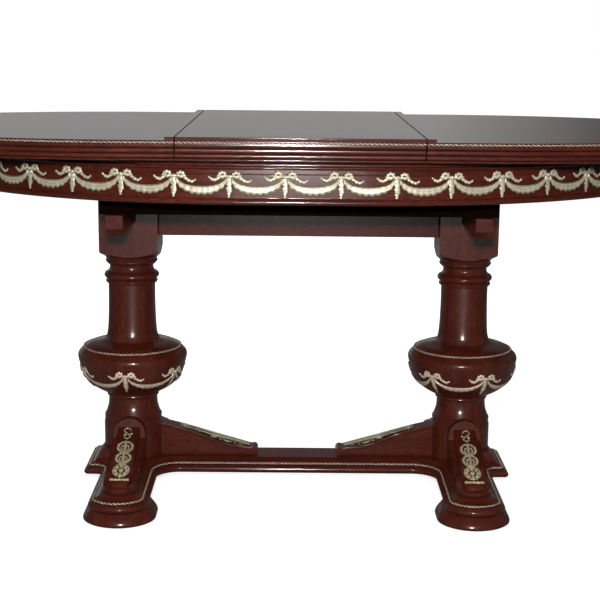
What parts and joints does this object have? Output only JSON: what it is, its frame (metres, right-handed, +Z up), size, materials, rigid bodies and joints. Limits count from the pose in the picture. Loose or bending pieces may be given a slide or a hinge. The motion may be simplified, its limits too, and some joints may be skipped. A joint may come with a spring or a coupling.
{
  "type": "double pedestal dining table",
  "caption": "Oval extending dining table on turned pedestals, with sliding half tops, a lift-out centre leaf, a garlanded apron and a moulded platform base.",
  "frame": {"origin": "middle of the footprint on the floor", "axes": "+X along the table to the right seen from the front, -Y to the front, +Z up"},
  "size_m": [1.8898, 0.88, 0.775],
  "materials": {
    "mahogany": "polished",
    "gilt_brass": "gilt",
    "steel": "bright"
  },
  "bodies": {
    "left_half": {"left_half_top": "mahogany", "left_lipping": "mahogany", "left_edge_rope": "gilt_brass", "left_runners": "mahogany", "left_runner_screws": "steel"},
    "right_half": {"right_half_top": "mahogany", "right_lipping": "mahogany", "right_edge_rope": "gilt_brass", "right_runners": "mahogany", "right_runner_screws": "steel"},
    "leaf": {"leaf_top": "mahogany", "leaf_cleats": "mahogany", "leaf_ropes": "gilt_brass"},
    "base": {"left_arm": "mahogany", "right_arm": "mahogany", "left_bulb": "mahogany", "right_bulb": "mahogany", "left_bulb_garlands": "gilt_brass", "right_bulb_garlands": "gilt_brass", "left_column": "mahogany", "right_column": "mahogany", "left_drum": "mahogany", "right_drum": "mahogany", "left_foot_platform": "mahogany", "right_foot_platform": "mahogany", "left_front_knee": "mahogany", "right_front_knee": "mahogany", "left_front_shoe": "mahogany", "right_front_shoe": "mahogany", "left_rear_knee": "mahogany", "right_rear_knee": "mahogany", "left_rear_shoe": "mahogany", "right_rear_shoe": "mahogany", "left_saddle_rail": "mahogany", "right_saddle_rail": "mahogany", "left_wing_bracket": "mahogany", "right_wing_bracket": "mahogany", "apron_glue_blocks": "mahogany", "back_apron_rail": "mahogany", "back_bearer": "mahogany", "back_left_apron_quarter": "mahogany", "back_right_apron_quarter": "mahogany", "base_ropes": "gilt_brass", "bulb_ropes": "gilt_brass", "frame_screws": "steel", "frieze_garlands": "gilt_brass", "front_apron_rail": "mahogany", "front_bearer": "mahogany", "front_left_apron_quarter": "mahogany", "front_right_apron_quarter": "mahogany", "knee_ornaments": "gilt_brass", "slide_channels": "mahogany", "slide_end_stops": "mahogany", "stretcher_board": "mahogany", "tie_rod_nuts": "steel", "tie_rod_washers": "steel", "tie_rods": "steel", "top_rail": "mahogany", "wing_strips": "gilt_brass"}
  },
  "joints": [
    {"name": "left_half_slide", "type": "slide", "parent": "base", "child": "left_half", "axis": [-1, 0, 0], "range_m": [0, 0.06]},
    {"name": "right_half_slide", "type": "slide", "parent": "base", "child": "right_half", "axis": [1, 0, 0], "range_m": [0, 0.06]},
    {"name": "leaf_lift", "type": "slide", "parent": "base", "child": "leaf", "axis": [0, 0, 1], "range_m": [0, 0.25]}
  ]
}
